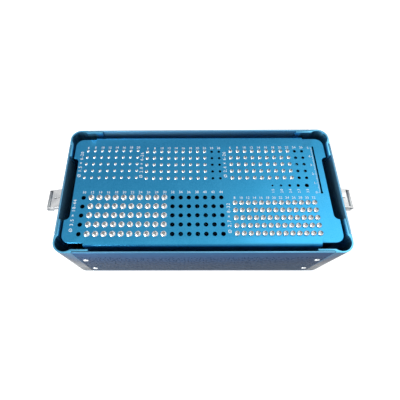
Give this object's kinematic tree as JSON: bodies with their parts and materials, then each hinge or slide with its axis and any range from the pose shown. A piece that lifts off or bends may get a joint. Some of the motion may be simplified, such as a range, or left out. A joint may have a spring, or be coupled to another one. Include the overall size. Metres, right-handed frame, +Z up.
{
  "type": "orthopedic screw box",
  "caption": "Rectangular blue anodised screw case: rounded corner posts, sheet panels, a lift-out drilled rack of bone screws and a hook latch on each end.",
  "frame": {"origin": "on the surface the feet stand on, under the middle of the box", "axes": "+X along the length to the right, +Y from the front to the back, +Z up"},
  "size_m": [0.3158, 0.132, 0.07],
  "materials": {
    "post_aluminium": "blue anodised extrusion, satin",
    "panel_aluminium": "blue anodised sheet, satin",
    "pan_aluminium": "black anodised sheet, matt",
    "rack_aluminium": "blue anodised sheet, satin",
    "rivet_aluminium": "bright, as formed",
    "foot_rubber": "black moulded rubber, matt",
    "screw_steel": "polished stainless steel",
    "latch_steel": "brushed stainless steel"
  },
  "bodies": {
    "case": {"post_front_left": "post_aluminium", "post_front_right": "post_aluminium", "post_back_left": "post_aluminium", "post_back_right": "post_aluminium", "panel_front": "panel_aluminium", "panel_back": "panel_aluminium", "panel_left": "panel_aluminium", "panel_right": "panel_aluminium", "panel_rivets": "rivet_aluminium", "base_pan": "pan_aluminium", "feet": "foot_rubber", "left_latch_bracket": "latch_steel", "left_latch_rivets": "rivet_aluminium", "left_hinge_pin": "latch_steel", "right_latch_bracket": "latch_steel", "right_latch_rivets": "rivet_aluminium", "right_hinge_pin": "latch_steel"},
    "rack": {"rack_plate": "rack_aluminium", "rack_wall_front": "rack_aluminium", "rack_wall_back": "rack_aluminium", "rack_base": "rack_aluminium", "rack_rivets": "rivet_aluminium", "screws_1_5": "screw_steel", "screws_2_0": "screw_steel", "screws_2_4": "screw_steel", "screws_2_7": "screw_steel", "screws_3_5": "screw_steel"},
    "left_lever": {"left_lever": "latch_steel", "left_hook_pin": "latch_steel"},
    "left_hook": {"left_hook": "latch_steel"},
    "right_lever": {"right_lever": "latch_steel", "right_hook_pin": "latch_steel"},
    "right_hook": {"right_hook": "latch_steel"}
  },
  "joints": [
    {"name": "rack_lift", "type": "slide", "parent": "case", "child": "rack", "axis": [0, 0, 1], "range_m": [0, 0.075]},
    {"name": "left_latch_swing", "type": "hinge", "parent": "case", "child": "left_lever", "pos_m": [-0.1339, 0, 0.045], "axis": [0, 1, 0], "range_deg": [0, 100]},
    {"name": "left_hook_swing", "type": "hinge", "parent": "left_lever", "child": "left_hook", "pos_m": [-0.15366, 0, 0.0408], "axis": [0, 1, 0], "range_deg": [0, 80]},
    {"name": "right_latch_swing", "type": "hinge", "parent": "case", "child": "right_lever", "pos_m": [0.1339, 0, 0.045], "axis": [0, -1, 0], "range_deg": [0, 100]},
    {"name": "right_hook_swing", "type": "hinge", "parent": "right_lever", "child": "right_hook", "pos_m": [0.15366, 0, 0.0408], "axis": [0, -1, 0], "range_deg": [0, 80]}
  ]
}
